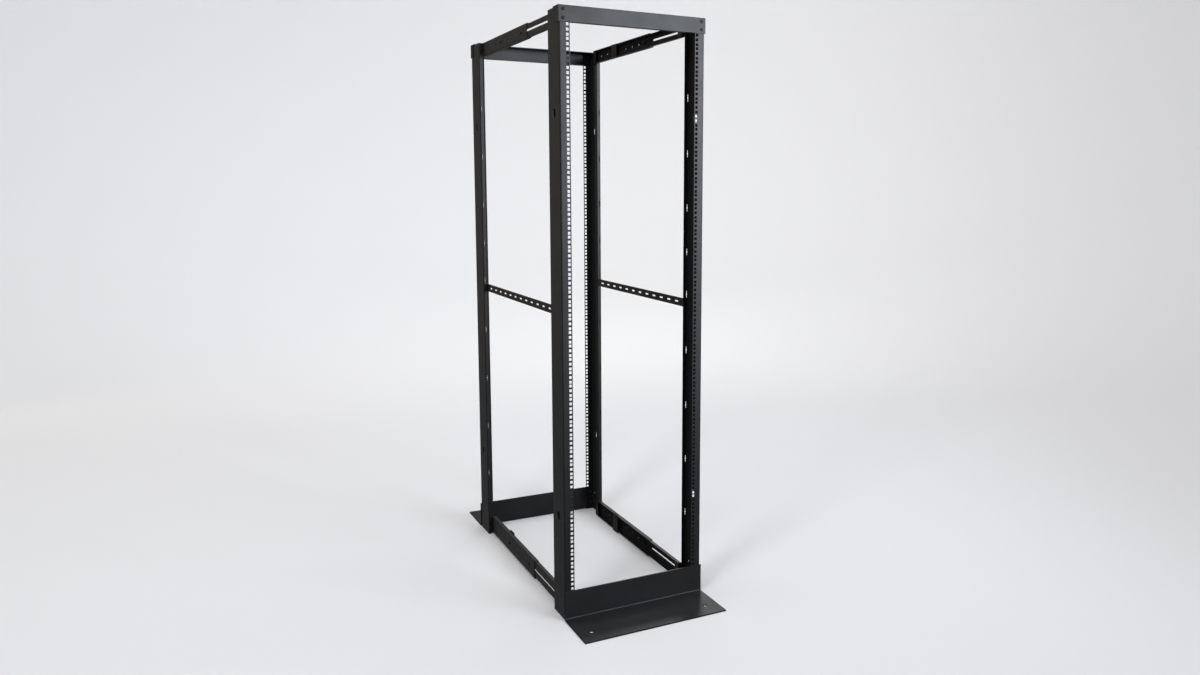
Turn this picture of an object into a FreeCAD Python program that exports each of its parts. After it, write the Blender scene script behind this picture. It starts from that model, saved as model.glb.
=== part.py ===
import FreeCAD, Part
import Sketcher
import os
import re

# Four-post open frame rack: four bent steel posts with square mounting holes, joined by a
# pressed cap at the top front and rear, a steel angle on the floor front and rear, and
# telescoping side rails that set the depth. Millimetres, +Z up, the front towards -Y and
# the origin on the floor at the middle of the rack.

FRONT, REAR = -1, 1
LEFT, RIGHT = -1, 1

DIMENSIONS = [
    ("rack_units", 42, "rack units between the base angle and the cap"),
    ("unit_height", 44.45, "height of one rack unit"),
    ("frame_width", 521, "over the outer faces of the posts"),
    ("frame_depth", 985, "over the outer faces of the posts"),
    ("bay_width", 450, "clear width between the mounting flanges"),
    ("hole_spacing", 465.1, "between the two columns of mounting holes"),
    ("square_hole", 9.5, "side of a mounting hole"),
    ("hole_margin", 6.35, "from the edge of a unit to the centre of its first hole"),
    ("hole_step", 15.875, "between the holes inside one unit"),
    ("post_depth", 104, "web of a post, front to rear"),
    ("post_lip", 15.5, "flat lip of a post"),
    ("lip_return", 7.5, "turned-in edge of the lip, across and back"),
    ("sheet_thickness", 2.5, "steel of the posts and caps"),
    ("bend_radius", 1.5, "inside radius of a bend"),
    ("web_slot_low", 352, "height of the lower cut-out in a post web"),
    ("web_slot_high", 1690, "height of the upper cut-out in a post web"),
    ("web_slot_length", 30, "height of a cut-out in a post web"),
    ("web_slot_width", 17, "width of its narrow ends"),
    ("web_slot_eye", 24, "width of its eight-sided middle"),
    ("lip_slot_length", 25, "height of a cut-out in a post lip"),
    ("lip_slot_inset", 5.5, "from the side of a post in to the cut-outs of its lip"),
    ("lip_slot_width", 3, "width of its narrow ends"),
    ("lip_slot_eye", 5, "width of its eight-sided middle"),
    ("cap_height", 50.8, "face of a cap"),
    ("cap_depth", 50, "top flange of a cap"),
    ("cap_side", 27, "side tab of a cap"),
    ("cap_hem", 16, "bottom flange of a cap"),
    ("fit_gap", 1, "between a cap's bottom flange and a post"),
    ("base_height", 101.6, "upright leg of a base angle"),
    ("base_leg", 184, "floor leg of a base angle"),
    ("base_thickness", 4.8, "steel of a base angle"),
    ("base_bend", 4, "inside radius of its bend"),
    ("base_overhang", 2.5, "base angle beyond the posts, each side"),
    ("anchor_hole", 16, "diameter of a floor anchor hole"),
    ("anchor_spacing", 430, "between the two anchor holes of a base angle"),
    ("anchor_offset", 122, "from the posts out to the anchor holes"),
    ("rail_inset", 15, "from the side of the posts in to the outer rail"),
    ("rail_flange", 17, "flange of a side rail"),
    ("rail_thickness", 2.5, "steel of the side rails"),
    ("rail_bend", 1, "inside radius of a rail's bends"),
    ("rail_play", 0.5, "between the flanges of the two nested rails"),
    ("top_rail_height", 51, "outer rail at the top"),
    ("bottom_rail_height", 68, "outer rail at the bottom"),
    ("floor_gap", 2, "between a bottom rail guide and the floor"),
    ("outer_rail_length", 527, "outer rail, fixed to a rear post"),
    ("inner_rail_length", 557, "inner rail, fixed to a front post"),
    ("rail_slot_width", 7, "long slot of an inner rail"),
    ("rail_slot_margin", 9, "from the end of an inner rail to its slot"),
    ("rail_hole", 6.5, "square carriage bolt holes along an outer rail"),
    ("rail_hole_first", 62, "from the end of an outer rail to its first hole"),
    ("rail_hole_pitch", 59, "between the holes of an outer rail"),
    ("rail_hole_count", 8, "holes along an outer rail"),
    ("bracket_thickness", 3, "steel of a rail end bracket"),
    ("bracket_leg", 27, "leg of a bracket along the rail"),
    ("bracket_corner", 5, "cut corners of a bracket's tab"),
    ("tab_setback", 2, "from the side of a post to a tab on its lip"),
    ("guide_width", 45, "rail guide along the rail"),
    ("guide_thickness", 3, "steel of a rail guide"),
    ("guide_overhang", 5, "bottom rail guide above and below its rail"),
    ("brace_bottom", 1031, "height of the lower edge of a side brace"),
    ("brace_height", 30, "bar of a side brace"),
    ("brace_thickness", 3, "steel of a side brace"),
    ("brace_slot_length", 28, "slot of a side brace"),
    ("brace_slot_width", 6, "slot of a side brace"),
    ("brace_slot_pitch", 61, "between the slots of a side brace"),
    ("brace_slot_count", 12, "slots along a side brace"),
]

# Cut-outs up a post lip: height of the first, step to the next, and how many.
LIP_SLOT_GROUPS = [
    ("lower", "lip_slot_low", 267, "lip_step_low", 202, "lip_count_low", 5),
    ("middle", "lip_slot_middle", 1227, "lip_step_middle", 156, "lip_count_middle", 2),
    ("upper", "lip_slot_high", 1572, "lip_step_high", 192, "lip_count_high", 2),
]
for group, first_name, first, step_name, step, count_name, count in LIP_SLOT_GROUPS:
    DIMENSIONS.append((first_name, first, f"height of the first {group} cut-out in a lip"))
    DIMENSIONS.append((step_name, step, f"between the {group} cut-outs in a lip"))
    DIMENSIONS.append((count_name, count, f"{group} cut-outs in a lip"))

ALIASES = {alias for alias, value, meaning in DIMENSIONS}

RACK_HEIGHT = "(base_height + rack_units * unit_height + cap_height)"
POST_HEIGHT = f"({RACK_HEIGHT} - sheet_thickness)"
FLANGE_WIDTH = "((frame_width - bay_width) / 2)"
SPAN = "(frame_depth - 2 * post_depth)"

doc = FreeCAD.newDocument("four_post_rack")
sheet = doc.addObject("Spreadsheet::Sheet", "Dimensions")
for row, (alias, value, meaning) in enumerate(DIMENSIONS, start=1):
    sheet.set(f"A{row}", alias)
    sheet.set(f"B{row}", str(value))
    sheet.setAlias(f"B{row}", alias)
    sheet.set(f"C{row}", meaning)
doc.recompute()

bodies = []


# ------------------------------------------------------------------ sketches and features

def cells(expression):
    """Write each size that an expression names as a cell of the sheet."""
    def cell(match):
        word = match.group(0)
        return f"Dimensions.{word}" if word in ALIASES else word
    return re.sub(r"[a-z_]+", cell, str(expression))


def value_of(expression):
    return float(sheet.evalExpression(cells(expression)))


def new_body(name, x="0", y="0", z="0"):
    body = doc.addObject("PartDesign::Body", name)
    body.Label = name
    for axis, expression in (("x", x), ("y", y), ("z", z)):
        body.setExpression(f"Placement.Base.{axis}", cells(expression))
    bodies.append(body)
    return body


def origin_feature(body, role):
    return next(item for item in body.Origin.OriginFeatures if item.Role == role)


def new_sketch(body, name, plane, offset="0"):
    """Start a sketch on an origin plane, moved along the plane's normal."""
    sketch = body.newObject("Sketcher::SketchObject", f"{body.Name}_{name}")
    sketch.AttachmentSupport = [(origin_feature(body, plane), "")]
    sketch.MapMode = "FlatFace"
    sketch.setExpression("AttachmentOffset.Base.z", cells(offset))
    return sketch


def hold(sketch, kind, geometry, point, expression):
    """Hold a point's distance from the sketch's origin to an expression."""
    constraint = Sketcher.Constraint(kind, -1, 1, geometry, point, value_of(expression))
    number = sketch.addConstraint(constraint)
    sketch.setExpression(f"Constraints[{number}]", cells(expression))


def draw_outline(sketch, corners):
    """Draw a closed outline through corners given as pairs of expressions."""
    points = [FreeCAD.Vector(value_of(x), value_of(y), 0) for x, y in corners]
    lines = []
    for number, point in enumerate(points):
        following = points[(number + 1) % len(points)]
        lines.append(sketch.addGeometry(Part.LineSegment(point, following), False))
    for number, line in enumerate(lines):
        following = lines[(number + 1) % len(lines)]
        sketch.addConstraint(Sketcher.Constraint("Coincident", line, 2, following, 1))
    for line, (x, y) in zip(lines, corners):
        hold(sketch, "DistanceX", line, 1, x)
        hold(sketch, "DistanceY", line, 1, y)


def draw_rectangle(sketch, low_x, low_y, high_x, high_y):
    draw_outline(sketch, [(low_x, low_y), (high_x, low_y), (high_x, high_y), (low_x, high_y)])


def draw_circle(sketch, x, y, diameter):
    centre = FreeCAD.Vector(value_of(x), value_of(y), 0)
    circle = Part.Circle(centre, FreeCAD.Vector(0, 0, 1), value_of(diameter) / 2)
    number = sketch.addGeometry(circle, False)
    hold(sketch, "DistanceX", number, 3, x)
    hold(sketch, "DistanceY", number, 3, y)
    constraint = sketch.addConstraint(Sketcher.Constraint("Diameter", number, value_of(diameter)))
    sketch.setExpression(f"Constraints[{constraint}]", cells(diameter))


def new_pad(body, name, sketch, length):
    """Pad a sketch by half the length to each side of its plane."""
    pad = body.newObject("PartDesign::Pad", f"{body.Name}_{name}")
    pad.Profile = sketch
    pad.SideType = "Symmetric"
    pad.setExpression("Length", cells(length))
    body.Tip = pad
    return pad


def new_pocket(body, name, sketch, depth):
    """Cut a sketch through by half the depth to each side of its plane."""
    pocket = body.newObject("PartDesign::Pocket", f"{body.Name}_{name}")
    pocket.Profile = sketch
    pocket.SideType = "Symmetric"
    pocket.setExpression("Length", cells(depth))
    body.Tip = pocket
    return pocket


def repeat(body, name, features, axis, step, count):
    pattern = body.newObject("PartDesign::LinearPattern", f"{body.Name}_{name}")
    pattern.Originals = features
    pattern.Direction = (origin_feature(body, axis), [""])
    pattern.Mode = "Spacing"
    pattern.setExpression("Offset", cells(step))
    pattern.setExpression("Occurrences", cells(count))
    body.Tip = pattern
    return pattern


def edges_at(body, axis, places):
    """Name the straight edges of a body that run along an axis through the given places."""
    doc.recompute()
    across = [direction for direction in "xyz" if direction != axis]
    targets = [tuple(value_of(part) for part in place) for place in places]
    names = []
    for number, edge in enumerate(body.Tip.Shape.Edges, start=1):
        start, end = edge.Vertexes[0].Point, edge.Vertexes[-1].Point
        if abs(getattr(end - start, axis)) < (end - start).Length * 0.999:
            continue
        for target in targets:
            gaps = [abs(getattr(start, way) - part) for way, part in zip(across, target)]
            if max(gaps) < 1e-4:
                names.append(f"Edge{number}")
    return names


def round_edges(body, name, axis, places, radius):
    edges = (body.Tip, edges_at(body, axis, places))
    fillet = body.newObject("PartDesign::Fillet", f"{body.Name}_{name}")
    fillet.Base = edges
    fillet.setExpression("Radius", cells(radius))
    body.Tip = fillet


def chamfer_edges(body, name, axis, places, size):
    edges = (body.Tip, edges_at(body, axis, places))
    chamfer = body.newObject("PartDesign::Chamfer", f"{body.Name}_{name}")
    chamfer.Base = edges
    chamfer.setExpression("Size", cells(size))
    body.Tip = chamfer


# ---------------------------------------------------------------------------------- posts

def cut_keyhole(body, name, plane, offset, x, height, size):
    """Cut a narrow upright slot that widens to an eight-sided eye at its middle."""
    narrow, wide, half = f"{size}_width / 2", f"{size}_eye / 2", f"{size}_length / 2"
    quarter = [(narrow, half), (narrow, wide), (wide, narrow)]
    corners = []
    for across, up, part in ((1, 1, quarter), (1, -1, quarter[::-1]),
                             (-1, -1, quarter), (-1, 1, quarter[::-1])):
        corners += [(f"{x} + {across} * {a}", f"{height} + {up} * {b}") for a, b in part]
    outline = new_sketch(body, f"{name}_sketch", plane, offset)
    draw_outline(outline, corners)
    return new_pocket(body, name, outline, "2 * sheet_thickness")


def make_post(side, end, name):
    """A post bent from one sheet: mounting flange, side web, lip and its turned-in edge."""
    body = new_body(name, f"{side} * frame_width / 2", f"{end} * frame_depth / 2")
    thick = "sheet_thickness"
    lip_corner = f"(post_lip - {thick} * (sqrt(2) - 1))"
    profile = new_sketch(body, "profile", "XY_Plane", f"{POST_HEIGHT} / 2")
    draw_outline(profile, [
        ("0", "0"),
        (f"{-side} * {FLANGE_WIDTH}", "0"),
        (f"{-side} * {FLANGE_WIDTH}", f"{-end} * {thick}"),
        (f"{-side} * {thick}", f"{-end} * {thick}"),
        (f"{-side} * {thick}", f"{-end} * (post_depth - {thick})"),
        (f"{-side} * {lip_corner}", f"{-end} * (post_depth - {thick})"),
        (f"{-side} * (post_lip + lip_return - {thick} / sqrt(2))",
         f"{-end} * (post_depth - lip_return - {thick} / sqrt(2))"),
        (f"{-side} * (post_lip + lip_return)", f"{-end} * (post_depth - lip_return)"),
        (f"{-side} * post_lip", f"{-end} * post_depth"),
        ("0", f"{-end} * post_depth"),
    ])
    new_pad(body, "sheet", profile, POST_HEIGHT)
    round_edges(body, "inner_bends", "z", [
        (f"{-side} * {thick}", f"{-end} * {thick}"),
        (f"{-side} * {thick}", f"{-end} * (post_depth - {thick})"),
        (f"{-side} * {lip_corner}", f"{-end} * (post_depth - {thick})"),
    ], "bend_radius")
    round_edges(body, "outer_bends", "z", [
        ("0", "0"),
        ("0", f"{-end} * post_depth"),
        (f"{-side} * post_lip", f"{-end} * post_depth"),
    ], f"bend_radius + {thick}")

    web_plane = f"{-side} * {thick} / 2"
    for level in ("low", "high"):
        cut_keyhole(body, f"web_slot_{level}", "YZ_Plane", web_plane,
                    f"{-end} * post_depth / 2", f"web_slot_{level}", "web_slot")

    lip_plane = f"{end} * (post_depth - {thick} / 2)"
    for group, first_name, first, step_name, step, count_name, count in LIP_SLOT_GROUPS:
        cut = cut_keyhole(body, f"lip_slot_{group}", "XZ_Plane", lip_plane,
                          f"{-side} * lip_slot_inset", first_name, "lip_slot")
        repeat(body, f"lip_slots_{group}", [cut], "Z_Axis", step_name, count_name)

    holes = new_sketch(body, "unit_holes_sketch", "XZ_Plane")
    column = f"{-side} * (frame_width - hole_spacing) / 2"
    for step in range(3):
        centre = f"(base_height + hole_margin + {step} * hole_step)"
        draw_rectangle(holes, f"{column} - square_hole / 2", f"{centre} - square_hole / 2",
                       f"{column} + square_hole / 2", f"{centre} + square_hole / 2")
    unit_holes = new_pocket(body, "unit_holes", holes, "4 * sheet_thickness")
    repeat(body, "mounting_holes", [unit_holes], "Z_Axis", "unit_height", "rack_units")


# ------------------------------------------------------------------------ caps and bases

def make_cap(end, name):
    """A pressed cap over the tops of two posts: face, top flange, side tabs and hem."""
    body = new_body(name, "0", f"{end} * frame_depth / 2", RACK_HEIGHT)
    thick = "sheet_thickness"
    profile = new_sketch(body, "profile", "YZ_Plane")
    draw_outline(profile, [
        (f"{end} * {thick}", "0"),
        (f"{-end} * cap_depth", "0"),
        (f"{-end} * cap_depth", f"-{thick}"),
        ("0", f"-{thick}"),
        ("0", "-cap_height"),
        (f"{end} * {thick}", "-cap_height"),
    ])
    new_pad(body, "face", profile, f"frame_width + 2 * {thick}")
    for side, word in ((LEFT, "left"), (RIGHT, "right")):
        tab = new_sketch(body, f"{word}_tab_sketch", "YZ_Plane",
                         f"{side} * (frame_width + {thick}) / 2")
        draw_rectangle(tab, f"{end} * {thick}", "-cap_height", f"{-end} * cap_side", "0")
        new_pad(body, f"{word}_tab", tab, thick)
    hem = new_sketch(body, "hem_sketch", "YZ_Plane")
    draw_rectangle(hem, f"{end} * {thick}", "-cap_height",
                   f"{-end} * cap_hem", f"{thick} - cap_height")
    new_pad(body, "hem", hem, "bay_width - 2 * fit_gap")
    round_edges(body, "face_bends", "x", [
        (f"{end} * {thick}", "0"),
    ], "bend_radius")


def make_base(end, name):
    """A floor angle: its upright leg carries two posts and its floor leg points outwards."""
    body = new_body(name, "0", f"{end} * frame_depth / 2")
    thick = "base_thickness"
    profile = new_sketch(body, "profile", "YZ_Plane")
    draw_outline(profile, [
        ("0", "0"),
        (f"{end} * base_leg", "0"),
        (f"{end} * base_leg", thick),
        (f"{end} * {thick}", thick),
        (f"{end} * {thick}", "base_height"),
        ("0", "base_height"),
    ])
    new_pad(body, "angle", profile, "frame_width + 2 * base_overhang")
    round_edges(body, "inner_bend", "x", [(f"{end} * {thick}", thick)], "base_bend")
    round_edges(body, "outer_bend", "x", [("0", "0")], f"base_bend + {thick}")
    anchors = new_sketch(body, "anchor_sketch", "XY_Plane")
    for side in (LEFT, RIGHT):
        draw_circle(anchors, f"{side} * anchor_spacing / 2", f"{end} * anchor_offset",
                    "anchor_hole")
    new_pocket(body, "anchor_holes", anchors, f"4 * {thick}")


# ------------------------------------------------------------------------------ side rails

def bend_channel(body, side, web, low, high):
    """Round both bends of a channel, inside and outside the sheet."""
    thick = "rail_thickness"
    round_edges(body, "inner_bends", "y", [
        (f"{-side} * ({web} + {thick})", f"{low} + {thick}"),
        (f"{-side} * ({web} + {thick})", f"{high} - {thick}"),
    ], "rail_bend")
    round_edges(body, "outer_bends", "y", [
        (f"{-side} * {web}", low),
        (f"{-side} * {web}", high),
    ], f"rail_bend + {thick}")


def draw_channel(sketch, side, web, flange, low, high):
    """Draw a channel open towards the middle of the rack, at x from web to flange."""
    thick = "rail_thickness"
    draw_outline(sketch, [
        (f"{-side} * {web}", low),
        (f"{-side} * {flange}", low),
        (f"{-side} * {flange}", f"{low} + {thick}"),
        (f"{-side} * ({web} + {thick})", f"{low} + {thick}"),
        (f"{-side} * ({web} + {thick})", f"{high} - {thick}"),
        (f"{-side} * {flange}", f"{high} - {thick}"),
        (f"{-side} * {flange}", high),
        (f"{-side} * {web}", high),
    ])


def make_outer_rail(side, level, name):
    """The outer channel of a side rail, fixed to a rear post, with a row of holes."""
    rear_lip = "(frame_depth / 2 - post_depth)"
    body = new_body(name, f"{side} * frame_width / 2", rear_lip, level["bottom"])
    middle = "(bracket_thickness + outer_rail_length / 2)"
    profile = new_sketch(body, "profile", "XZ_Plane", middle)
    draw_channel(profile, side, "rail_inset", "(rail_inset + rail_flange)",
                 "0", level["height"])
    new_pad(body, "channel", profile, "outer_rail_length")
    bend_channel(body, side, "rail_inset", "0", level["height"])
    row = new_sketch(body, "hole_sketch", "YZ_Plane",
                     f"{-side} * (rail_inset + rail_thickness / 2)")
    first = "(rail_hole_first - bracket_thickness - outer_rail_length)"
    centre = f"{level['height']} / 2"
    draw_rectangle(row, f"{first} - rail_hole / 2", f"{centre} - rail_hole / 2",
                   f"{first} + rail_hole / 2", f"{centre} + rail_hole / 2")
    hole = new_pocket(body, "first_hole", row, "2 * rail_thickness")
    repeat(body, "hole_row", [hole], "Y_Axis", "rail_hole_pitch", "rail_hole_count")


def inner_low():
    return "(rail_thickness + rail_play)"


def inner_high(level):
    return f"({level['height']} - rail_thickness - rail_play)"


def make_inner_rail(side, level, name):
    """The inner channel of a side rail, fixed to a front post, with one long slot."""
    front_lip = "(post_depth - frame_depth / 2)"
    body = new_body(name, f"{side} * frame_width / 2", front_lip, level["bottom"])
    middle = "(bracket_thickness + inner_rail_length / 2)"
    profile = new_sketch(body, "profile", "XZ_Plane", f"-{middle}")
    draw_channel(profile, side, "(rail_inset + rail_thickness)",
                 "(rail_inset + rail_flange)", inner_low(), inner_high(level))
    new_pad(body, "channel", profile, "inner_rail_length")
    bend_channel(body, side, "(rail_inset + rail_thickness)", inner_low(), inner_high(level))
    slot = new_sketch(body, "slot_sketch", "YZ_Plane",
                      f"{-side} * (rail_inset + 1.5 * rail_thickness)")
    centre = f"{level['height']} / 2"
    draw_rectangle(slot, "bracket_thickness + rail_slot_margin",
                   f"{centre} - rail_slot_width / 2",
                   "bracket_thickness + inner_rail_length - rail_slot_margin",
                   f"{centre} + rail_slot_width / 2")
    new_pocket(body, "slot", slot, "2 * rail_thickness")


def make_end_bracket(side, end, level, low, high, name):
    """A bent bracket: its tab bolts on a post's lip, its leg closes the rail's open side."""
    lip_face = f"{end} * (frame_depth / 2 - post_depth)"
    body = new_body(name, f"{side} * frame_width / 2", lip_face, level["bottom"])
    thick = "bracket_thickness"
    inner_edge = "(rail_inset + rail_flange)"
    plan = new_sketch(body, "plan", "XY_Plane", f"{level['height']} / 2")
    draw_outline(plan, [
        (f"{-side} * tab_setback", "0"),
        (f"{-side} * {inner_edge}", "0"),
        (f"{-side} * {inner_edge}", f"{-end} * bracket_leg"),
        (f"{-side} * ({inner_edge} - {thick})", f"{-end} * bracket_leg"),
        (f"{-side} * ({inner_edge} - {thick})", f"{-end} * {thick}"),
        (f"{-side} * tab_setback", f"{-end} * {thick}"),
    ])
    new_pad(body, "bend", plan, f"{high} - {low} - 2 * rail_thickness")
    top = f"({high} - rail_thickness)"
    bottom = f"({low} + rail_thickness)"
    chamfer_edges(body, "tab_corners", "y", [
        (f"{-side} * tab_setback", bottom),
        (f"{-side} * tab_setback", top),
    ], "bracket_corner")


def make_guide(side, level, name):
    """A flat guide over the open side of an outer rail, where the inner rail ends."""
    inner_end = "(post_depth + bracket_thickness + inner_rail_length - frame_depth / 2)"
    body = new_body(name, f"{side} * frame_width / 2", inner_end, level["bottom"])
    seat = f"{-side} * (rail_inset + rail_flange + guide_thickness / 2)"
    plate = new_sketch(body, "plate_sketch", "YZ_Plane", seat)
    draw_rectangle(plate, "-guide_width / 2", f"-{level['overhang']}",
                   "guide_width / 2", f"{level['height']} + {level['overhang']}")
    new_pad(body, "plate", plate, "guide_thickness")


def make_brace(side, name):
    """A slotted flat bar halfway up a side, with its ends bent out on the post lips."""
    body = new_body(name, f"{side} * frame_width / 2", "0", "brace_bottom")
    thick = "brace_thickness"
    half = f"({SPAN} / 2)"
    plan = new_sketch(body, "plan", "XY_Plane", "brace_height / 2")
    draw_outline(plan, [
        (f"{-side} * tab_setback", f"-{half}"),
        (f"{-side} * (rail_inset + {thick})", f"-{half}"),
        (f"{-side} * (rail_inset + {thick})", half),
        (f"{-side} * tab_setback", half),
        (f"{-side} * tab_setback", f"{half} - {thick}"),
        (f"{-side} * rail_inset", f"{half} - {thick}"),
        (f"{-side} * rail_inset", f"{thick} - {half}"),
        (f"{-side} * tab_setback", f"{thick} - {half}"),
    ])
    new_pad(body, "bar", plan, "brace_height")
    first = "((1 - brace_slot_count) * brace_slot_pitch / 2)"
    slot = new_sketch(body, "slot_sketch", "YZ_Plane", f"{-side} * (rail_inset + {thick} / 2)")
    draw_rectangle(slot, f"{first} - brace_slot_length / 2",
                   "(brace_height - brace_slot_width) / 2",
                   f"{first} + brace_slot_length / 2",
                   "(brace_height + brace_slot_width) / 2")
    cut = new_pocket(body, "first_slot", slot, f"2 * {thick}")
    repeat(body, "slot_row", [cut], "Y_Axis", "brace_slot_pitch", "brace_slot_count")


# -------------------------------------------------------------------------------- assembly

LEVELS = {
    "top": {"height": "top_rail_height", "bottom": f"({POST_HEIGHT} - top_rail_height)",
            "overhang": "0"},
    "bottom": {"height": "bottom_rail_height", "bottom": "(floor_gap + guide_overhang)",
               "overhang": "guide_overhang"},
}

for end, end_word in ((FRONT, "front"), (REAR, "rear")):
    for side, side_word in ((LEFT, "left"), (RIGHT, "right")):
        make_post(side, end, f"{end_word}_{side_word}_post")
    make_cap(end, f"{end_word}_top_cap")
    make_base(end, f"{end_word}_base_angle")

for side, side_word in ((LEFT, "left"), (RIGHT, "right")):
    for level_word, level in LEVELS.items():
        place = f"{side_word}_{level_word}"
        make_outer_rail(side, level, f"{place}_outer_rail")
        make_inner_rail(side, level, f"{place}_inner_rail")
        make_end_bracket(side, REAR, level, "0", level["height"],
                         f"{place}_rear_bracket")
        make_end_bracket(side, FRONT, level, inner_low(), inner_high(level),
                         f"{place}_front_bracket")
        make_guide(side, level, f"{place}_rail_guide")
    make_brace(side, f"{side_word}_side_brace")

doc.recompute()

for item in doc.Objects:
    if "Invalid" in item.State or "Error" in item.State:
        raise RuntimeError(f"{item.Name} did not build: {item.State}")
for body in bodies:
    if body.Shape.isNull() or not body.Shape.isValid():
        raise RuntimeError(f"{body.Label} has no valid shape")
    if len(body.Shape.Solids) != 1:
        raise RuntimeError(f"{body.Label} is {len(body.Shape.Solids)} solids, not one")

os.makedirs("parts", exist_ok=True)
for body in bodies:
    body.Shape.exportStep(os.path.join("parts", f"{body.Label}.step"))
print(f"{len(bodies)} parts written")
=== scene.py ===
import math

import bmesh
import bpy
from mathutils import Matrix, Vector


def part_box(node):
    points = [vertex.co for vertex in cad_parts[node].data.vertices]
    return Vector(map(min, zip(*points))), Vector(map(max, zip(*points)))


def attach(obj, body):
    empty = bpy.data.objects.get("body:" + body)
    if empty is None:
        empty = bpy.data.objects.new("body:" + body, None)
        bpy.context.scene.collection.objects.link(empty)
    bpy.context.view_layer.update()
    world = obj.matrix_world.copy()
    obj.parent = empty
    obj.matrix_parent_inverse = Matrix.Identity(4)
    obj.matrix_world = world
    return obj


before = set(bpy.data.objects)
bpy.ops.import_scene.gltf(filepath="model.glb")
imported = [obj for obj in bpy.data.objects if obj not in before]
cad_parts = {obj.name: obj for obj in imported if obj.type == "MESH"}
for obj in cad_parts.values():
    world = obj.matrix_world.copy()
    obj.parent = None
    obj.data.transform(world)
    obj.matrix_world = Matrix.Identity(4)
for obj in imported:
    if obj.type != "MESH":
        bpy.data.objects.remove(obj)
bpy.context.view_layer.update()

# ---------------------------------------------------------------------------- camera
# The rack is seen from its front left corner, from a little over chest height, so that
# the left side, the front and the top of the base angles all show.

CAMERA_PLACE = Vector((-1.3368, -3.2945, 1.4615))
CAMERA_TURN = math.radians(27.085)
CAMERA_TILT = math.radians(7.351)
CAMERA_ROLL = math.radians(0.189)
CAMERA_LENS = 27.9
CAMERA_SENSOR = 36.0
CAMERA_SHIFT = (-0.05, -0.02675)

camera_data = bpy.data.cameras.new("camera")
camera_data.sensor_width = CAMERA_SENSOR
camera_data.lens = CAMERA_LENS
camera_data.shift_x, camera_data.shift_y = CAMERA_SHIFT
camera = bpy.data.objects.new("camera", camera_data)
bpy.context.scene.collection.objects.link(camera)
camera.matrix_world = (
    Matrix.Translation(CAMERA_PLACE)
    @ Matrix.Rotation(-CAMERA_TURN, 4, "Z")
    @ Matrix.Rotation(math.pi / 2 - CAMERA_TILT, 4, "X")
    @ Matrix.Rotation(CAMERA_ROLL, 4, "Z")
)
bpy.context.scene.camera = camera

# ----------------------------------------------------------------------------- posts
# The four posts are cold-rolled sheet steel, punched, bent into channels and then powder
# coated satin black. The coat is an even skin with a faint orange peel that rounds cut
# edges a little. The inner faces of each post channel are painted near-black and made
# dull, as painted shade.

MM = 0.001
SHEET = 2.5 * MM
SHEET_BLACK = "#0c0d0e"
SHEET_BLACK_DUSTY = "#161718"
COAT_IOR = 1.5
COAT_ROUGHNESS = 0.42
# Faint blotches change the roughness by so much between these two values of their noise.
BLOTCH_SIZE = 70 * MM
BLOTCH_LIMITS = (0.3, 0.7)
GLOSS_CHANGE = (-0.03, 0.04)
PEEL_SIZE = 1.6 * MM
PEEL_DEPTH = 0.1 * MM
PEEL_STRENGTH = 0.12
EDGE_ROUNDING = 0.5 * MM
# Near-black painted over masked faces: painted shade inside the post channels and on the rail
# faces towards the middle, and darker sheared edges on the base plates.
PAINTED_SHADE_AND_EDGE_BLACK = "#040404"
DULL_FACE_ROUGHNESS = 0.95


def linear(colour):
    """Turn an sRGB hex colour into the linear values that shaders take."""
    values = [int(colour[place:place + 2], 16) / 255 for place in (1, 3, 5)]
    return [v / 12.92 if v <= 0.04045 else ((v + 0.055) / 1.055) ** 2.4 for v in values] + [1.0]


def add_node(tree, kind, inputs=None, **settings):
    """Add a node, set its properties, and set or link its inputs by name or number."""
    node = tree.nodes.new(kind)
    for name, value in settings.items():
        setattr(node, name, value)
    for name, value in (inputs or {}).items():
        if isinstance(value, bpy.types.NodeSocket):
            tree.links.new(value, node.inputs[name])
        else:
            node.inputs[name].default_value = value
    return node


def new_material(name):
    """Make a material with an empty node tree and give both, with the place on the piece."""
    material = bpy.data.materials.new(name)
    material.use_nodes = True
    tree = material.node_tree
    tree.nodes.clear()
    place = add_node(tree, "ShaderNodeTexCoord").outputs["Object"]
    return material, tree, place


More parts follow.
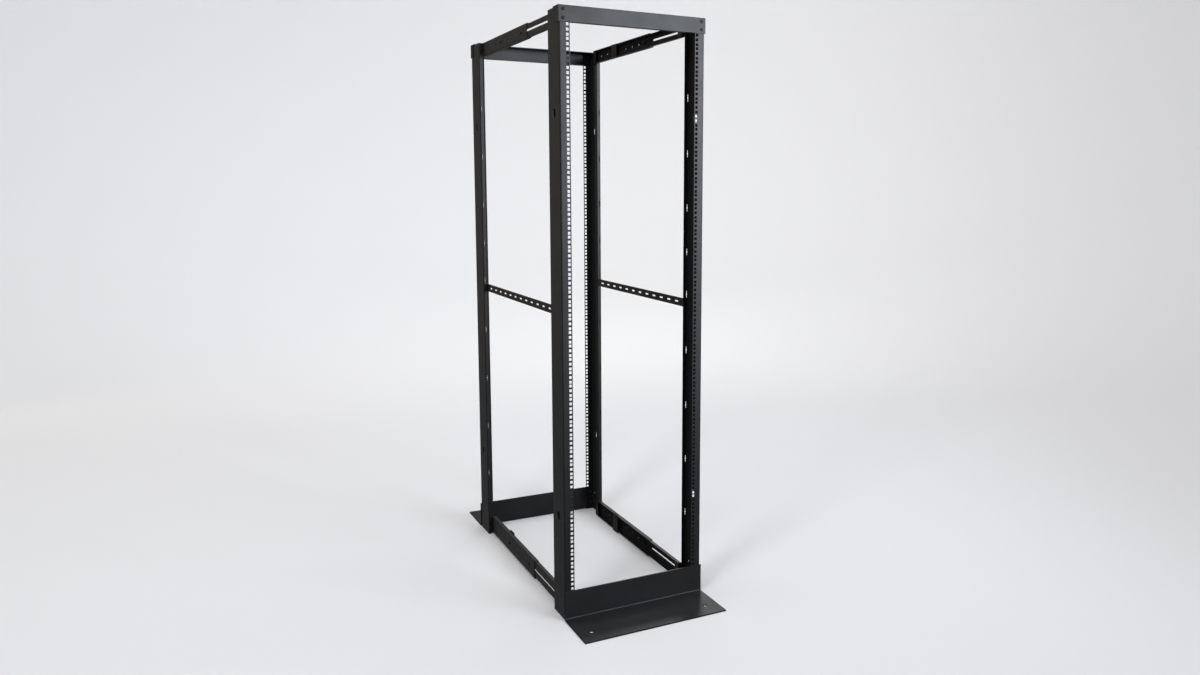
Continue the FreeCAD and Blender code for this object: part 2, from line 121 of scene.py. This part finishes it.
def coated_steel(name, colour, dusty_colour, roughness, painted_shade_and_edge_where=None):
    """Satin black coat: orange peel, slight blotches in gloss and colour, soft edges, and
    painted near-black where a mask is given.
    """
    material, tree, place = new_material(name)
    blotch = add_node(tree, "ShaderNodeTexNoise", {
        "Vector": place, "Scale": 1 / BLOTCH_SIZE, "Detail": 3.0, "Roughness": 0.55})
    peel = add_node(tree, "ShaderNodeTexNoise", {
        "Vector": place, "Scale": 1 / PEEL_SIZE, "Detail": 2.0, "Roughness": 0.5})
    shade = add_node(tree, "ShaderNodeMix", {
        0: blotch.outputs["Fac"], 6: linear(colour), 7: linear(dusty_colour)},
        data_type="RGBA").outputs[2]
    gloss = add_node(tree, "ShaderNodeMapRange", {
        "Value": blotch.outputs["Fac"],
        "From Min": BLOTCH_LIMITS[0], "From Max": BLOTCH_LIMITS[1],
        "To Min": roughness + GLOSS_CHANGE[0],
        "To Max": roughness + GLOSS_CHANGE[1]}).outputs["Result"]
    # Where the mask is one, the colour is painted near-black and the coat made dull: painted
    # shade inside channels, darker sheared edges on plates.
    if painted_shade_and_edge_where:
        painted_shade_and_edge = painted_shade_and_edge_where(tree, place)
        shade = add_node(tree, "ShaderNodeMix", {
            0: painted_shade_and_edge, 6: shade, 7: linear(PAINTED_SHADE_AND_EDGE_BLACK)}, data_type="RGBA").outputs[2]
        gloss = add_node(tree, "ShaderNodeMix", {
            0: painted_shade_and_edge, 2: gloss, 3: DULL_FACE_ROUGHNESS}, data_type="FLOAT").outputs[0]
    rounding = add_node(tree, "ShaderNodeBevel", {"Radius": EDGE_ROUNDING}, samples=4)
    skin = add_node(tree, "ShaderNodeBump", {
        "Height": peel.outputs["Fac"], "Normal": rounding.outputs["Normal"],
        "Strength": PEEL_STRENGTH, "Distance": PEEL_DEPTH})
    coat = add_node(tree, "ShaderNodeBsdfPrincipled", {
        "Base Color": shade, "Roughness": gloss,
        "IOR": COAT_IOR, "Normal": skin.outputs["Normal"]})
    add_node(tree, "ShaderNodeOutputMaterial", {"Surface": coat.outputs["BSDF"]})
    return material


def from_the_middle(tree, place):
    """Distances from the rack's two upright middle planes, across it and along it."""
    corner = add_node(tree, "ShaderNodeVectorMath", {0: place}, operation="ABSOLUTE")
    apart = add_node(tree, "ShaderNodeSeparateXYZ", {"Vector": corner.outputs["Vector"]})
    return apart.outputs["X"], apart.outputs["Y"]


def painted_shade_inside_posts(tree, place):
    """One on the inner faces of the four post channels, where shade is painted, and zero on all
    other faces.
    """
    across, along = from_the_middle(tree, place)
    diagonal = add_node(tree, "ShaderNodeMath", {0: across, 1: along}, operation="ADD")
    limits = [
        ("LESS_THAN", across, WEB_INSIDE + FACE_MARGIN),
        ("LESS_THAN", along, FLANGE_INSIDE + FACE_MARGIN),
        ("GREATER_THAN", along, LIP_INSIDE - FACE_MARGIN),
        ("GREATER_THAN", diagonal.outputs[0], FOLD_DIAGONAL),
    ]
    inside = 1.0
    for operation, value, limit in limits:
        test = add_node(tree, "ShaderNodeMath", {0: value, 1: limit}, operation=operation)
        both = add_node(tree, "ShaderNodeMath", {0: inside, 1: test.outputs[0]},
                        operation="MULTIPLY")
        inside = both.outputs[0]
    return inside


def finish_nodes(material, *endings):
    """Give the material to every CAD node whose name has one of these endings."""
    for name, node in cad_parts.items():
        if name.endswith(endings):
            for slot in node.material_slots:
                slot.material = material


post_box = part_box("front_right_post")
POST_SIDE = post_box[1][0]
POST_FACE = -post_box[0][1]
POST_BACK = -post_box[1][1]
WEB_INSIDE = POST_SIDE - SHEET
FLANGE_INSIDE = POST_FACE - SHEET
LIP_INSIDE = POST_BACK + SHEET
FACE_MARGIN = 0.3 * MM
# Across and along add up to this halfway through the sheet of the slanted lip fold.
FOLD_DIAGONAL = 635.2 * MM

channel_powder_coat = coated_steel("satin_black_powder_coat_with_painted_shade_in_channels", SHEET_BLACK,
                                   SHEET_BLACK_DUSTY, COAT_ROUGHNESS, painted_shade_inside_posts)
finish_nodes(channel_powder_coat, "_post")

# ------------------------------------------------------------------------------ caps
# A cap is pressed from one sheet of steel, with a face, a top flange, side tabs and a hem,
# and goes over the tops of two posts. It has the coat of the posts, full on every face:
# satin black, with a faint orange peel.

satin_powder_coat = coated_steel("satin_black_powder_coat", SHEET_BLACK,
                                 SHEET_BLACK_DUSTY, COAT_ROUGHNESS)
finish_nodes(satin_powder_coat, "_cap")

# ------------------------------------------------------------------------- side rails
# A side rail is two shallow channels of sheet steel. The inner one, on the front post,
# slides in the outer one, on the rear post, until they are bolted. They have the coat of
# the posts, painted near-black and made dull as painted shade on the faces that look
# towards the middle of the rack.


def painted_shade_on_rail_insides(tree, place):
    """One on the faces of the side rails that face the middle, where shade is painted, and zero
    on all others.
    """
    normal = add_node(tree, "ShaderNodeNewGeometry").outputs["Normal"]
    here = add_node(tree, "ShaderNodeSeparateXYZ", {"Vector": place})
    facing = add_node(tree, "ShaderNodeSeparateXYZ", {"Vector": normal})
    outward = add_node(tree, "ShaderNodeMath", {
        0: here.outputs["X"], 1: facing.outputs["X"]}, operation="MULTIPLY")
    return add_node(tree, "ShaderNodeMath", {
        0: outward.outputs[0], 1: -WEB_INSIDE / 2}, operation="LESS_THAN").outputs[0]


rail_powder_coat = coated_steel("satin_black_powder_coat_with_painted_shade_on_rails", SHEET_BLACK,
                                SHEET_BLACK_DUSTY, COAT_ROUGHNESS, painted_shade_on_rail_insides)
finish_nodes(rail_powder_coat, "_rail")

# ------------------------------------------------------------------------ base angles
# The two base angles are 4.8 mm hot-rolled plate, sheared, bent once and coated like the
# rest. The coat flows a little smoother on the plate, and the sheared edges are made darker
# and duller than the faces.

PLATE_BLACK = "#131416"
PLATE_BLACK_DUSTY = "#1e1f21"
PLATE_ROUGHNESS = 0.36

base_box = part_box("front_base_angle")
PLATE_TIP = -base_box[0][1]
PLATE_SIDE = base_box[1][0]


def on_a_sheared_edge(tree, place):
    """One on the sheared tip and sides of the base plates and zero on their faces."""
    across, along = from_the_middle(tree, place)
    tip = add_node(tree, "ShaderNodeMath", {
        0: along, 1: PLATE_TIP - FACE_MARGIN}, operation="GREATER_THAN")
    side = add_node(tree, "ShaderNodeMath", {
        0: across, 1: PLATE_SIDE - FACE_MARGIN}, operation="GREATER_THAN")
    return add_node(tree, "ShaderNodeMath", {0: tip.outputs[0], 1: side.outputs[0]},
                    operation="MAXIMUM").outputs[0]


plate_powder_coat = coated_steel("satin_black_powder_coated_plate", PLATE_BLACK,
                                 PLATE_BLACK_DUSTY, PLATE_ROUGHNESS, on_a_sheared_edge)
finish_nodes(plate_powder_coat, "_base_angle")

# -------------------------------------------------------- brackets, guides and braces
# Small bent parts of the depth adjustment are zinc plated and passivated black: a matt
# near-black skin with a faint warm sheen, darker than the powder coat around it.

BRACKET_BLACK = "#0b0a0a"
BRACKET_BLACK_DUSTY = "#131211"
BRACKET_ROUGHNESS = 0.5

black_passivated_zinc = coated_steel("black_passivated_zinc", BRACKET_BLACK,
                                     BRACKET_BLACK_DUSTY, BRACKET_ROUGHNESS)
finish_nodes(black_passivated_zinc, "_bracket", "_guide", "_brace")

# -------------------------------------------------------------------------- cap bolts
# Each cap is held by four M6 button head screws, two into each post flange, with hex
# nuts behind the flange. They are black oxide steel, with a dark 4 mm hex socket.

FASTENER_BLACK = "#0c0c0d"
FASTENER_ROUGHNESS = 0.3
FASTENER_GLOSS_CHANGE = (-0.05, 0.1)
FASTENER_GRAIN = 3 * MM
CAP_BOLT_ACROSS = 248 * MM
CAP_BOLT_DROPS = (12 * MM, 39.5 * MM)
BUTTON_HEAD = [("round", 5.25, 0.0), ("round", 5.25, 0.4), ("round", 4.9, 1.5),
               ("round", 4.0, 2.6), ("round", 3.0, 3.2), ("hex", 2.0, 3.3),
               ("hex", 2.0, 1.3)]
HEX_NUT = [("hex", 5.0, 0.0), ("hex", 5.0, 4.4), ("round", 4.85, 5.0), ("round", 3.1, 5.0),
           ("round", 3.0, 4.6), ("round", 2.9, 6.4), ("round", 2.4, 7.0)]
RING_POINTS = 24
SHARP_EDGE = math.radians(35)
# Side is -1 on the left and 1 on the right; end is -1 at the front and 1 at the rear.
CORNERS = [(side, end) for end in (-1, 1) for side in (-1, 1)]


def black_oxide(name, colour, roughness):
    """Black oxide steel: a thin dark oxide over machined metal, with a dull metal shine."""
    material, tree, place = new_material(name)
    grain = add_node(tree, "ShaderNodeTexNoise", {
        "Vector": place, "Scale": 1 / FASTENER_GRAIN})
    gloss = add_node(tree, "ShaderNodeMapRange", {
        "Value": grain.outputs["Fac"],
        "To Min": roughness + FASTENER_GLOSS_CHANGE[0],
        "To Max": roughness + FASTENER_GLOSS_CHANGE[1]})
    steel = add_node(tree, "ShaderNodeBsdfPrincipled", {
        "Base Color": linear(colour), "Roughness": gloss.outputs["Result"],
        "IOR": COAT_IOR})
    add_node(tree, "ShaderNodeOutputMaterial", {"Surface": steel.outputs["BSDF"]})
    return material


def ring_radius(kind, radius, turn):
    """Distance from the axis of a round ring, or of a hexagon measured across its flats."""
    if kind == "round":
        return radius
    off_flat = (turn + math.pi / 6) % (math.pi / 3) - math.pi / 6
    return radius / math.cos(off_flat)


def add_fastener(mesh, rings, foot, way):
    """Add a head or nut of rings (kind, radius and height in mm) that stands on foot."""
    frame_turn = Vector(way).to_track_quat("Z", "Y").to_matrix()
    loops = []
    for kind, radius, height in rings:
        loop = []
        for number in range(RING_POINTS):
            turn = 2 * math.pi * number / RING_POINTS
            reach = ring_radius(kind, radius, turn) * MM
            point = Vector((reach * math.cos(turn), reach * math.sin(turn), height * MM))
            loop.append(mesh.verts.new(Vector(foot) + frame_turn @ point))
        loops.append(loop)
    for low, high in zip(loops, loops[1:]):
        for number in range(RING_POINTS):
            after = (number + 1) % RING_POINTS
            face = mesh.faces.new((low[number], low[after], high[after], high[number]))
            face.smooth = True
    mesh.faces.new(loops[-1])


def new_object(name, mesh, material):
    """Turn a mesh under construction into an object of the scene with its material."""
    data = bpy.data.meshes.new(name)
    mesh.to_mesh(data)
    mesh.free()
    data.materials.append(material)
    made = bpy.data.objects.new(name, data)
    bpy.context.scene.collection.objects.link(made)
    return made


def finish_piece(name, mesh, material):
    """Turn a mesh under construction into a piece of the rack with crisp edges."""
    piece = new_object(name, mesh, material)
    edges = piece.modifiers.new("sharp_edges", "EDGE_SPLIT")
    edges.split_angle = SHARP_EDGE
    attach(piece, "root")


black_oxide_steel = black_oxide("black_oxide_steel", FASTENER_BLACK, FASTENER_ROUGHNESS)
cap_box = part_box("front_top_cap")
CAP_FACE = -cap_box[0][1]
CAP_TOP = cap_box[1][2]

cap_bolts = bmesh.new()
cap_nuts = bmesh.new()
for side, end in CORNERS:
    for drop in CAP_BOLT_DROPS:
        across, height = side * CAP_BOLT_ACROSS, CAP_TOP - drop
        add_fastener(cap_bolts, BUTTON_HEAD, (across, end * CAP_FACE, height), (0, end, 0))
        add_fastener(cap_nuts, HEX_NUT, (across, end * FLANGE_INSIDE, height), (0, -end, 0))
finish_piece("cap_bolts", cap_bolts, black_oxide_steel)
finish_piece("cap_nuts", cap_nuts, black_oxide_steel)

# ------------------------------------------------------------------------ base screws
# Two M6 button head screws a side hold each base angle to the foot of a post flange. They
# go in from inside the channel and are cut off flush in tapped holes of the thick plate.

BASE_SCREW_ACROSS = 247 * MM
BASE_SCREW_HEIGHTS = (30 * MM, 75 * MM)

base_screws = bmesh.new()
for side, end in CORNERS:
    for height in BASE_SCREW_HEIGHTS:
        foot = (side * BASE_SCREW_ACROSS, end * FLANGE_INSIDE, height)
        add_fastener(base_screws, BUTTON_HEAD, foot, (0, -end, 0))
finish_piece("base_screws", base_screws, black_oxide_steel)

# ---------------------------------------------------------------- rail bracket screws
# An M5 button head screw holds the tab of a top rail bracket on the lip of its post, and
# two hold a bottom one. Their heads are on the tab and their nuts inside the post.

TAB = 3 * MM
LIP_SCREW_INSET = 8 * MM
# Where the two screws of a bottom bracket are, as shares of the bracket's height.
BOTTOM_TAB_SHARES = (0.26, 0.74)
# Sizes of M5 screws and nuts as shares of the M6 ones above: in width, then in height.
SMALL_HEAD_SHARES = (0.87, 0.83)
SMALL_NUT_SHARES = (0.8, 0.8)


def scale_rings(rings, shares):
    """Make the rings of a smaller fastener from those of a larger one."""
    return [(kind, radius * shares[0], height * shares[1]) for kind, radius, height in rings]


def add_lip_screw(heads, nuts, side, end, height):
    """Add a screw head on a tab or a brace end, and its nut on the lip of the post."""
    across = side * (POST_SIDE - LIP_SCREW_INSET)
    add_fastener(heads, SMALL_HEAD, (across, end * (POST_BACK - TAB), height), (0, -end, 0))
    add_fastener(nuts, SMALL_NUT, (across, end * LIP_INSIDE, height), (0, end, 0))


SMALL_HEAD = scale_rings(BUTTON_HEAD, SMALL_HEAD_SHARES)
SMALL_NUT = scale_rings(HEX_NUT, SMALL_NUT_SHARES)

bracket_screws = bmesh.new()
bracket_nuts = bmesh.new()
for side, end in CORNERS:
    side_word = "left" if side < 0 else "right"
    end_word = "front" if end < 0 else "rear"
    top_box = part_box(f"{side_word}_top_{end_word}_bracket")
    bottom_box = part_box(f"{side_word}_bottom_{end_word}_bracket")
    heights = [(top_box[0][2] + top_box[1][2]) / 2]
    for share in BOTTOM_TAB_SHARES:
        heights.append(bottom_box[0][2] + share * (bottom_box[1][2] - bottom_box[0][2]))
    for height in heights:
        add_lip_screw(bracket_screws, bracket_nuts, side, end, height)
finish_piece("bracket_screws", bracket_screws, black_oxide_steel)
finish_piece("bracket_nuts", bracket_nuts, black_oxide_steel)

# ----------------------------------------------------------------------- brace screws
# One M5 button head screw at each end holds a side brace on the post lips, in the same
# way and of the same black oxide steel as the bracket screws.

brace_screws = bmesh.new()
brace_nuts = bmesh.new()
for side, end in CORNERS:
    brace_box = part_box("left_side_brace" if side < 0 else "right_side_brace")
    add_lip_screw(brace_screws, brace_nuts, side, end, (brace_box[0][2] + brace_box[1][2]) / 2)
finish_piece("brace_screws", brace_screws, black_oxide_steel)
finish_piece("brace_nuts", brace_nuts, black_oxide_steel)

# ------------------------------------------------------------------------ rail clamps
# Where the two rails overlap, M6 carriage bolts lock them. Their low round heads sit on
# the outer rail, and a washer and hex nut pull the inner rail's slot tight from inside.
# The second bolt of a rail also holds the flat guide, with a low dome on its face.

CLAMP_BOLT_PLACE = -79.5 * MM
GUIDE_BOLT_PLACE = 156.5 * MM
WASHER_THICKNESS = 1.6 * MM
CARRIAGE_HEAD = [("round", 7.5, 0.0), ("round", 7.5, 0.6), ("round", 6.6, 1.8),
                 ("round", 4.8, 2.8), ("round", 2.6, 3.4), ("round", 0.8, 3.6)]
WASHER = [("round", 6.0, 0.0), ("round", 6.0, 1.4), ("round", 5.8, 1.6), ("round", 3.2, 1.6)]
GUIDE_DOME = [("round", 4.5, 0.0), ("round", 4.3, 0.4), ("round", 3.2, 0.9),
              ("round", 1.6, 1.2)]

carriage_heads = bmesh.new()
clamp_nuts = bmesh.new()
for side_word, side in (("left", -1), ("right", 1)):
    for level in ("top", "bottom"):
        outer_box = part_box(f"{side_word}_{level}_outer_rail")
        guide_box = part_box(f"{side_word}_{level}_rail_guide")
        height = (outer_box[0][2] + outer_box[1][2]) / 2
        outside = max(abs(outer_box[0][0]), abs(outer_box[1][0]))
        guide_face = min(abs(guide_box[0][0]), abs(guide_box[1][0]))
        for along in (CLAMP_BOLT_PLACE, GUIDE_BOLT_PLACE):
            add_fastener(carriage_heads, CARRIAGE_HEAD, (side * outside, along, height),
                         (side, 0, 0))
        # The outer and the inner rail lie flat on each other, each one sheet thick.
        inside = side * (outside - 2 * SHEET)
        on_washer = inside - side * WASHER_THICKNESS
        for rings, foot in (
                (WASHER, (inside, CLAMP_BOLT_PLACE, height)),
                (HEX_NUT, (on_washer, CLAMP_BOLT_PLACE, height)),
                (GUIDE_DOME, (side * guide_face, GUIDE_BOLT_PLACE, height))):
            add_fastener(clamp_nuts, rings, foot, (-side, 0, 0))
finish_piece("carriage_bolt_heads", carriage_heads, black_oxide_steel)
finish_piece("rail_clamp_nuts", clamp_nuts, black_oxide_steel)

# ----------------------------------------------------------------------- ground studs
# A bright zinc plated M5 nut on the inner face of each post web, near its foot, is the
# place for a ground wire. It is the one light spot inside the channel, a dull silver that
# the crystals of the zinc make a little uneven.

ZINC = "#b9bbbd"
ZINC_ROUGHNESS = 0.35
ZINC_GLOSS_CHANGE = (-0.1, 0.1)
SPANGLE_SIZE = 2 * MM
# Depth behind the flange and height over the floor, at the front (-1) and the rear (1).
STUD_PLACES = {-1: (72 * MM, 86 * MM), 1: (26 * MM, 77 * MM)}

zinc, zinc_tree, zinc_place = new_material("bright_zinc_plate")
spangle = add_node(zinc_tree, "ShaderNodeTexNoise", {
    "Vector": zinc_place, "Scale": 1 / SPANGLE_SIZE})
zinc_gloss = add_node(zinc_tree, "ShaderNodeMapRange", {
    "Value": spangle.outputs["Fac"],
    "To Min": ZINC_ROUGHNESS + ZINC_GLOSS_CHANGE[0],
    "To Max": ZINC_ROUGHNESS + ZINC_GLOSS_CHANGE[1]})
zinc_metal = add_node(zinc_tree, "ShaderNodeBsdfPrincipled", {
    "Base Color": linear(ZINC), "Metallic": 1.0, "Roughness": zinc_gloss.outputs["Result"]})
add_node(zinc_tree, "ShaderNodeOutputMaterial", {"Surface": zinc_metal.outputs["BSDF"]})

ground_studs = bmesh.new()
for side, end in CORNERS:
    depth, height = STUD_PLACES[end]
    foot = (side * WEB_INSIDE, end * (POST_FACE - depth), height)
    add_fastener(ground_studs, SMALL_NUT, foot, (-side, 0, 0))
finish_piece("ground_stud_nuts", ground_studs, zinc)

# ------------------------------------------------------------------------------ studio
# A round seamless studio of matt paper: a floor that sweeps up into a wall on all sides.
# The paper is painted pale grey near the middle and white further out, as painted shade
# where the lamps fall strongest and painted light where less light reaches, to even out
# the backdrop. It is kept out of the coat's reflections, as black flags would do.

PAPER_PAINTED_DARKER_GREY = "#e4e4e5"
PAPER_PAINTED_LIGHTER_WHITE = "#efeff0"
PAPER_ROUGHNESS = 0.5
# The painted levelling of the paper, from grey to white, runs between these distances
# from the middle, in metres.
PAINTED_LEVELLING_REACH = (1.5, 8.0)
FLOOR_RINGS = (1.0, 2.5)
FLOOR_RADIUS = 4.0
SWEEP_RADIUS = 5.0
WALL_HEIGHT = 8.0
STUDIO_SIDES = 96
SWEEP_STEPS = 24

paper, paper_tree, paper_place = new_material("matt_studio_paper")
from_middle = add_node(paper_tree, "ShaderNodeVectorMath", {0: paper_place},
                       operation="LENGTH")
towards_wall = add_node(paper_tree, "ShaderNodeMapRange", {
    "Value": from_middle.outputs["Value"], "From Min": PAINTED_LEVELLING_REACH[0],
    "From Max": PAINTED_LEVELLING_REACH[1]}, interpolation_type="SMOOTHSTEP")
# Painted levelling of the light: the paper is darker near the middle, where the lamps fall
# strongest, and lighter outwards.
paper_painted_levelling = add_node(paper_tree, "ShaderNodeMix", {
    0: towards_wall.outputs["Result"], 6: linear(PAPER_PAINTED_DARKER_GREY), 7: linear(PAPER_PAINTED_LIGHTER_WHITE)},
    data_type="RGBA")
paper_sheet = add_node(paper_tree, "ShaderNodeBsdfDiffuse", {
    "Color": paper_painted_levelling.outputs[2], "Roughness": PAPER_ROUGHNESS})
add_node(paper_tree, "ShaderNodeOutputMaterial", {"Surface": paper_sheet.outputs["BSDF"]})

profile = [(reach, 0.0) for reach in FLOOR_RINGS]
for step in range(SWEEP_STEPS + 1):
    bend = math.pi / 2 * step / SWEEP_STEPS
    profile.append((FLOOR_RADIUS + SWEEP_RADIUS * math.sin(bend),
                    SWEEP_RADIUS * (1 - math.cos(bend))))
profile.append((FLOOR_RADIUS + SWEEP_RADIUS, WALL_HEIGHT))

studio_mesh = bmesh.new()
middle = studio_mesh.verts.new((0, 0, 0))
studio_rings = []
for reach, height in profile:
    ring = []
    for number in range(STUDIO_SIDES):
        turn = 2 * math.pi * number / STUDIO_SIDES
        ring.append(studio_mesh.verts.new((reach * math.cos(turn), reach * math.sin(turn),
                                           height)))
    studio_rings.append(ring)
for number in range(STUDIO_SIDES):
    after = (number + 1) % STUDIO_SIDES
    studio_mesh.faces.new((middle, studio_rings[0][number], studio_rings[0][after]))
    for low, high in zip(studio_rings, studio_rings[1:]):
        studio_mesh.faces.new((low[number], high[number], high[after], low[after]))
for face in studio_mesh.faces:
    face.smooth = True
studio = new_object("studio_sweep", studio_mesh, paper)
studio.visible_glossy = False

# ------------------------------------------------------------------------------ lights
# A large soft light overhead and a small one at the front left, for soft shadows. Panels
# at the front right draw the cool sheen down the front faces, weak ones behind lift the
# sides, one is for the wall alone, and the pale room around gives the webs their grey.

SOFT_LIGHTS = [
    # name, place, aim, size, beam in degrees, power in watts, colour
    ("overhead", (0.4, 1.2, 7.0), (0.4, 1.2, 0.0), (8.0, 8.0), 180, 370.0, "#ffffff"),
    ("front_right", (1.8, -3.3, 2.25), (0.45, -0.5, 2.6), (1.9, 2.15), 120, 49.0, "#eef5ff"),
    ("front_low", (1.65, -3.3, 0.45), (0.4, -0.5, 0.45), (1.9, 0.8), 120, 5.0, "#eef5ff"),
    ("rear_left", (-2.6, 3.4, 1.8), (-0.2, 0.0, 1.2), (1.5, 3.2), 180, 3.6, "#ffdcae"),
    ("rear_right", (2.4, 4.2, 2.6), (0.2, -0.6, 0.0), (1.5, 1.5), 180, 17.0, "#ffffff"),
    ("front_left", (-2.6, -2.2, 3.4), (0.3, 0.0, 0.0), (0.9, 0.9), 180, 34.0, "#ffffff"),
    ("wall", (1.7, 1.6, 5.4), (3.5, 8.0, 5.6), (2.4, 2.0), 180, 112.0, "#ffffff"),
]
ROOM_WHITE = "#f5f5f5"
ROOM_STRENGTH = 0.18

for name, place, aim, size, beam, power, colour in SOFT_LIGHTS:
    lamp = bpy.data.lights.new(name, "AREA")
    lamp.shape = "RECTANGLE"
    lamp.size, lamp.size_y = size
    lamp.spread = math.radians(beam)
    lamp.energy = power
    lamp.color = linear(colour)[:3]
    light = bpy.data.objects.new(name, lamp)
    light.location = place
    light.rotation_euler = (Vector(aim) - Vector(place)).to_track_quat("-Z", "Y").to_euler()
    light.visible_camera = False
    bpy.context.scene.collection.objects.link(light)

world = bpy.data.worlds.new("studio_world")
bpy.context.scene.world = world
world.use_nodes = True
room = world.node_tree.nodes["Background"]
room.inputs["Color"].default_value = linear(ROOM_WHITE)
room.inputs["Strength"].default_value = ROOM_STRENGTH

bpy.context.scene.view_settings.view_transform = "Standard"
